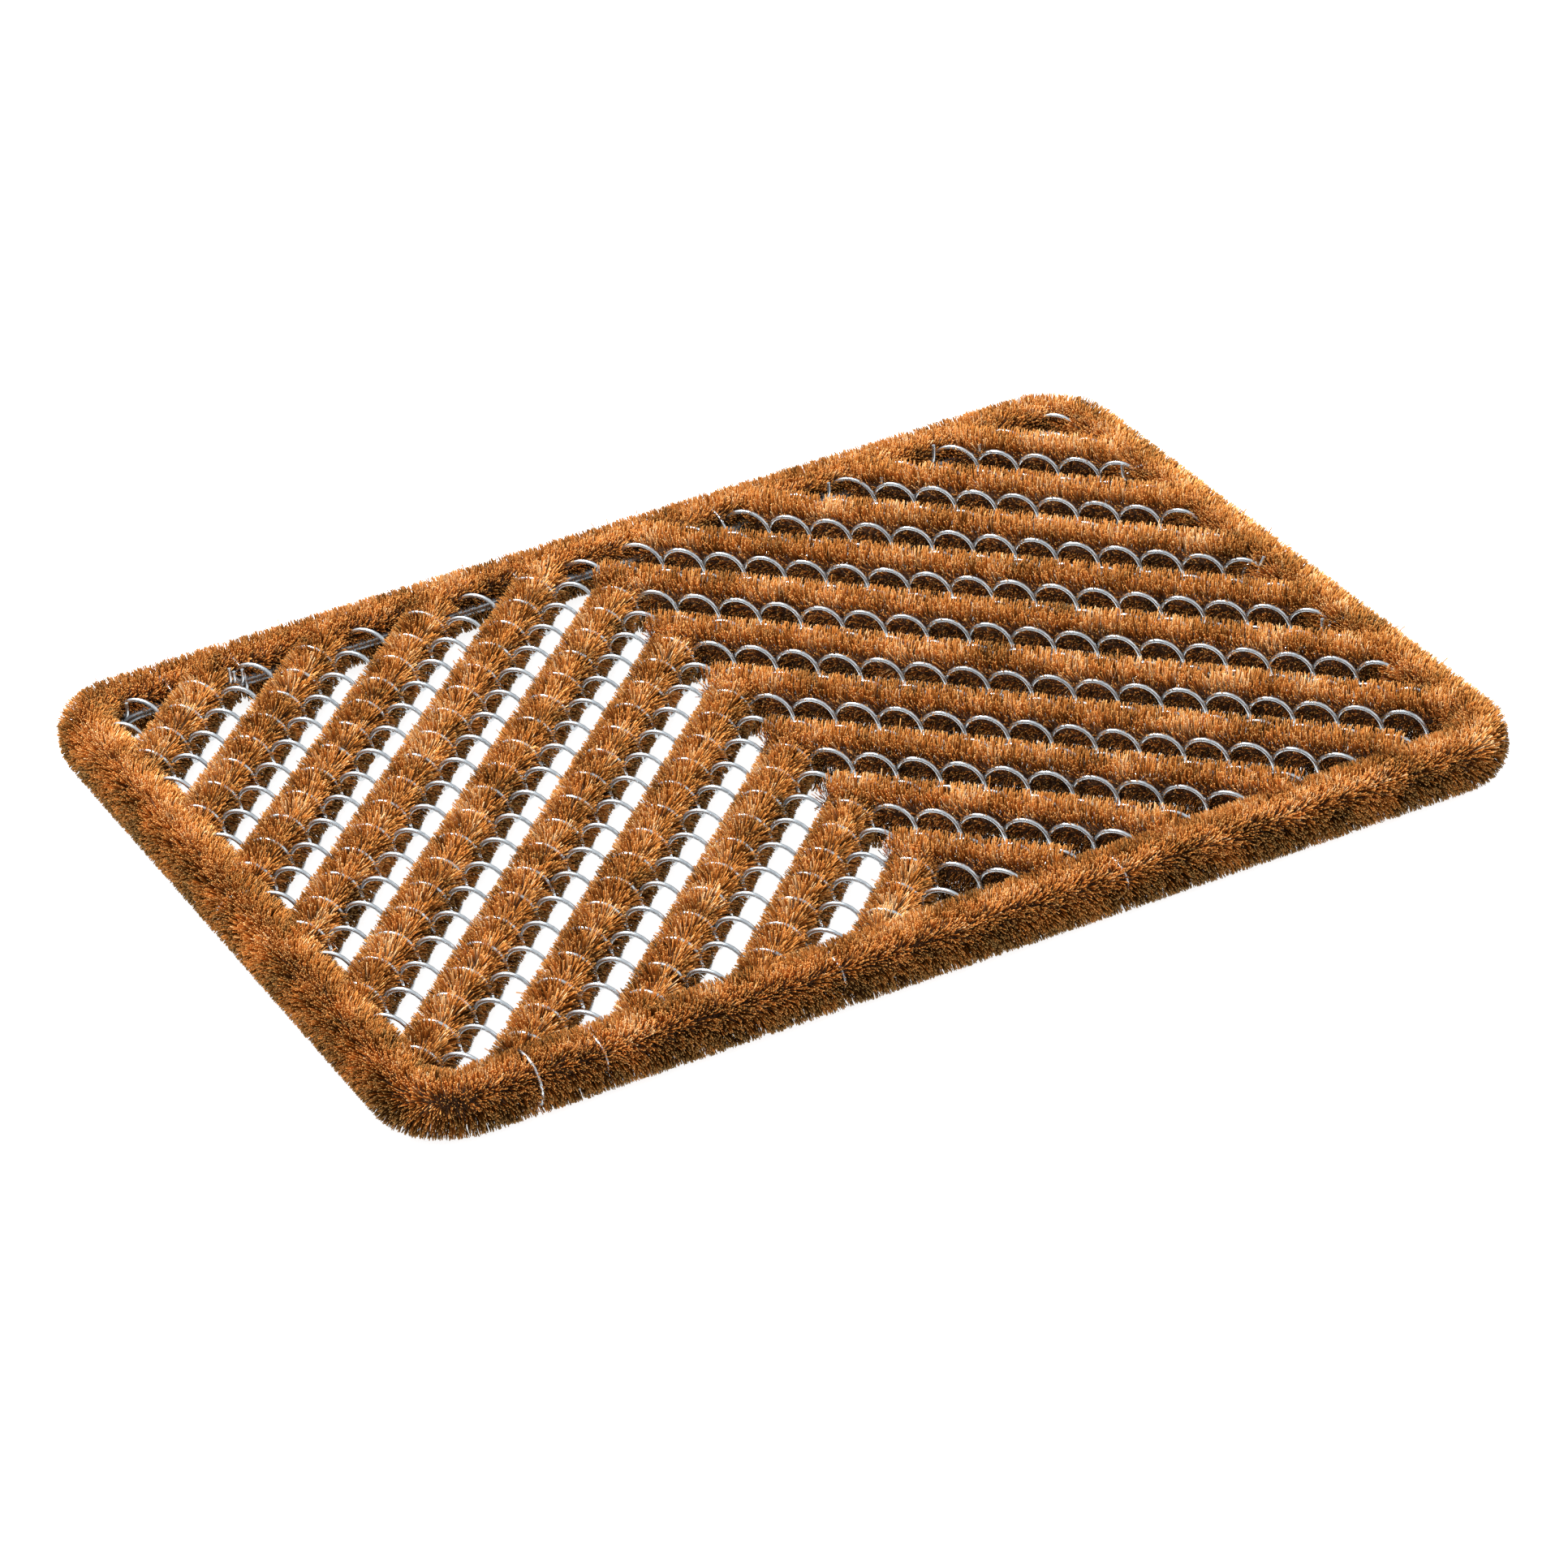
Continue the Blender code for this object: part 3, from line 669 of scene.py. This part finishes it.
def make_root_shade_coir():
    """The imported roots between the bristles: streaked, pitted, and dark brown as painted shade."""
    material = bpy.data.materials.new("packed_coir")
    material.use_nodes = True
    tree = material.node_tree
    shader = tree.nodes["Principled BSDF"]
    shader.inputs["Roughness"].default_value = 0.9
    place = add_node(tree, "ShaderNodeTexCoord").outputs["Object"]
    fibres = add_node(tree, "ShaderNodeTexNoise", {"Vector": place, "Scale": 900.0, "Detail": 3.0}).outputs[0]
    # painted shade: from near black to a dark brown, for the shade deep among the bristles
    ramp = tree.nodes.new("ShaderNodeValToRGB")
    ramp.color_ramp.elements[0].position = 0.35
    ramp.color_ramp.elements[0].color = (0.030, 0.012, 0.005, 1.0)
    ramp.color_ramp.elements[1].position = 0.75
    ramp.color_ramp.elements[1].color = (0.190, 0.075, 0.022, 1.0)
    tree.links.new(fibres, ramp.inputs[0])
    tree.links.new(ramp.outputs[0], shader.inputs["Base Color"])
    bump = add_node(tree, "ShaderNodeBump", {"Height": fibres, "Strength": 0.8, "Distance": 0.001})
    tree.links.new(bump.outputs["Normal"], shader.inputs["Normal"])
    return material


# painted shade: the packed roots fill the brush's middle in a dark brown that stands for the shade there
packed_coir = make_root_shade_coir()
border_roots = round_wire("border_roots", border_line, BORDER_ROOTS_RADIUS, ROOTS_ROUNDNESS, packed_coir,
                          closed=True)
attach(border_roots, "root")
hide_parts("border_brush")

# Brush strips. Straight coir brushes threaded through every second channel of the wire mesh: those on the
# left pass under the front arches, which part their tops; those on the right lie between the arches.
STRIP_BRISTLES_PER_METRE = 42000
STRIP_ROOTS_RADIUS = 0.005
STRIPS = 10
STRIP_SPACING = 4  # in pitches, along X
FIRST_STRIP = 9.5  # where the first strip's line would cross the X axis, in pitches
PAST_ROD = 0.003  # the brushes run this far past the middle of the rod
# The sign is 1 where strips run back to the right with the arches over them, and -1 where they run back
# to the left with the wires under them. The capitalised names are inputs of the bristle tree.
STRIP_FORMS = {
    "left": {"sign": 1, "half_width": 0.0145, "top_z": 0.0303, "past_middle": -0.002, "seed": 0,
             "Squareness": 2.3, "Tuft Lean": 0.75, "Parting Dip": 0.31, "Shortest": 0.88},
    "right": {"sign": -1, "half_width": 0.0120, "top_z": 0.0304, "past_middle": 0.010, "seed": 500,
              "Squareness": 10.0, "Tuft Lean": 0.28, "Parting Dip": 0.0, "Shortest": 0.95},
}
strip_coir = make_coir("strip_coir", COIR_TONES, COIR_ROOT_SHADE, COIR_TIP_HIGHLIGHT)
field_x = rod_x + PAST_ROD
field_y = rod_y + PAST_ROD
strip_lines = []
for side, form in STRIP_FORMS.items():
    sign = form["sign"]
    for strip_number in range(1, STRIPS + 1):
        offset = (FIRST_STRIP - STRIP_SPACING * (strip_number - 1)) * pitch_x
        # the centre line runs where sign * x - y = offset, towards the middle of the mat
        low_x = max(-field_x, offset - field_y)
        high_x = min(form["past_middle"], offset + field_y)
        ends = [(sign * x, x - offset, mesh_middle) for x in (low_x, high_x)]
        run = math.dist(*ends)
        strip_lines.append((f"strip_{side}_{strip_number:02d}", ends))
        arch_places = []
        for step in range(-2 * COLUMNS, 2 * COLUMNS):
            arch_x = (step + 0.5) * pitch_x
            arch_places.append((sign * arch_x, arch_x - offset, mesh_middle))
        arch_points = point_cloud("arch_places", arch_places)
        line = line_curve(f"strip_{side}_{strip_number:02d}", ends, False)
        strip = grown(line.name, bristle_tree, {
            "Count": int(run * STRIP_BRISTLES_PER_METRE), "Start": 0.0, "End": 1.0,
            "Half Width": form["half_width"], "Up": form["top_z"] - mesh_middle,
            "Down": mesh_middle - FLOOR_CLEARANCE, "Squareness": form["Squareness"],
            "Bristle Radius": BRISTLE_RADIUS, "Spread": 0.26, "Tuft Lean": form["Tuft Lean"],
            "Tuft Scale": TUFT_SCALE, "Curved Share": CURVED_SHARE, "Parting": -0.24, "Parting Reach": 0.007,
            "Parting Dip": form["Parting Dip"], "Parting Side": float(sign), "Parting Places": arch_points,
            "Shortest": form["Shortest"], "Stray Share": 0.006, "Tone": 0.25, "Bleach": 0.33,
            "Seed": 1000 * strip_number + form["seed"], "Material": strip_coir}, base=line)
        bpy.data.objects.remove(arch_points)
        finish_bristles(strip, f"coir_strip_{side}_{strip_number:02d}")
        # the strip's packed roots, dark with painted shade
        roots = round_wire(f"strip_roots_{side}_{strip_number:02d}", ends, STRIP_ROOTS_RADIUS,
                           ROOTS_ROUNDNESS, packed_coir)
        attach(roots, "root")
        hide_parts(f"coir_strip_{side}_{strip_number:02d}")

# Twisted cores. Two galvanised wires twisted together grip the bristles of each brush. They are hidden
# among the bristles, and show only where a strip's core stands out at its ends.
CORE_STRAND_RADIUS = 0.0009
CORE_TWIST = 0.012  # length of one whole turn
CORE_STEPS_PER_TWIST = 7
CORE_SIDES = 5
CORE_OVERHANG = 0.005


def make_core_tree():
    """Two strands twisted round the line that they are grown on."""
    tree, source, sink = new_tree("twisted_core", {
        "Steps": "Int", "Twist Length": "Float", "Strand Radius": "Float", "Material": "Material"})
    path = add_node(tree, "GeometryNodeResampleCurve",
                    {"Curve": source["Geometry"], "Count": source["Steps"]}, mode="COUNT").outputs[0]
    gone = add_node(tree, "GeometryNodeSplineParameter").outputs["Length"]
    turns = number(tree, "DIVIDE", gone, source["Twist Length"])
    ahead = add_node(tree, "GeometryNodeInputTangent").outputs[0]
    aside = vector(tree, "NORMALIZE", vector(tree, "CROSS_PRODUCT", ahead, (0.0, 0.0, 1.0)))
    strands = tree.nodes.new("GeometryNodeJoinGeometry")
    for start in (0.0, 0.5):
        angle = number(tree, "MULTIPLY", number(tree, "ADD", turns, start), 2 * math.pi)
        sideways = number(tree, "MULTIPLY", number(tree, "COSINE", angle), source["Strand Radius"])
        upwards = number(tree, "MULTIPLY", number(tree, "SINE", angle), source["Strand Radius"])
        rise = add_node(tree, "ShaderNodeCombineXYZ", {2: upwards}).outputs[0]
        offset = vector(tree, "ADD", vector(tree, "SCALE", aside, scale=sideways), rise)
        strand = add_node(tree, "GeometryNodeSetPosition", {"Geometry": path, "Offset": offset}).outputs[0]
        tree.links.new(strand, strands.inputs[0])
    ring = add_node(tree, "GeometryNodeCurvePrimitiveCircle",
                    {"Resolution": CORE_SIDES, "Radius": source["Strand Radius"]}).outputs[0]
    wire = add_node(tree, "GeometryNodeCurveToMesh",
                    {"Curve": strands.outputs[0], "Profile Curve": ring, "Fill Caps": True}).outputs[0]
    finish_tree(tree, wire, source, sink)
    return tree


core_tree = make_core_tree()
core_lines = [("border_core", border_line, True, "border_brush")]
for name, ends in strip_lines:
    start, end = (Vector(point) for point in ends)
    reach = (end - start).normalized() * CORE_OVERHANG
    core_lines.append((f"{name}_core", (start - reach, end + reach), False, f"coir_{name}"))
for name, points, closed, node in core_lines:
    line = line_curve(name, points, closed)
    run = sum(math.dist(first, second) for first, second in zip(points, points[1:]))
    core = grown(name, core_tree, {
        "Steps": int(run / CORE_TWIST * CORE_STEPS_PER_TWIST), "Twist Length": CORE_TWIST,
        "Strand Radius": CORE_STRAND_RADIUS, "Material": wire_zinc}, base=line)
    core.data.shade_smooth()
    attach(core, "root")
    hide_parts(node)

# Room. A plain pale floor, wide enough to fill the view behind the mat, one soft main light from behind
# on the left, a weak one from the front, and the camera in front of the left half, looking down on it.
FLOOR_REACH = 40.0
FLOOR_Z = -0.0005
floor_mesh = bpy.data.meshes.new("floor")
floor_corners = [(x * FLOOR_REACH, y * FLOOR_REACH, FLOOR_Z) for x, y in ((-1, -1), (1, -1), (1, 1), (-1, 1))]
floor_mesh.from_pydata(floor_corners, [], [(0, 1, 2, 3)])
floor = bpy.data.objects.new("floor", floor_mesh)
bpy.context.scene.collection.objects.link(floor)
paper = bpy.data.materials.new("paper")
paper.use_nodes = True
paper_face = paper.node_tree.nodes["Principled BSDF"].inputs
paper_face["Base Color"].default_value = (0.50, 0.50, 0.50, 1.0)
paper_face["Roughness"].default_value = 0.9
paper_face["Emission Color"].default_value = (1.0, 1.0, 1.0, 1.0)
paper_face["Emission Strength"].default_value = 0.88
floor_mesh.materials.append(paper)
floor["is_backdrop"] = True

world = bpy.data.worlds.new("studio")
world.use_nodes = True
sky = world.node_tree.nodes["Background"].inputs
sky["Color"].default_value = (0.95, 0.97, 1.0, 1.0)
sky["Strength"].default_value = 0.65
bpy.context.scene.world = world
bpy.context.scene.view_settings.view_transform = "Standard"


def area_light(name, place, size, power):
    """A square soft light, in metres and watts, that looks at the middle of the mat."""
    data = bpy.data.lights.new(name, "AREA")
    data.size = size
    data.energy = power
    light = bpy.data.objects.new(name, data)
    light.location = place
    light.rotation_euler = (-Vector(place)).to_track_quat("-Z", "Y").to_euler()
    bpy.context.scene.collection.objects.link(light)


area_light("key", (-0.8, 1.2, 2.3), 0.9, 166.0)
area_light("fill", (1.2, -1.4, 2.0), 1.6, 7.0)

CAMERA_PLACE = (-1.11451, -2.30500, 1.54066)
CAMERA_TURNS = (58.6473, 3.5322, -28.0416)  # degrees about X, Y and Z
camera_data = bpy.data.cameras.new("camera")
camera_data.sensor_width = 36.0
camera_data.lens = 139.35
camera = bpy.data.objects.new("camera", camera_data)
camera.location = CAMERA_PLACE
camera.rotation_euler = [math.radians(turned) for turned in CAMERA_TURNS]
bpy.context.scene.collection.objects.link(camera)
bpy.context.scene.camera = camera

bpy.context.view_layer.update()
low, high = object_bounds()
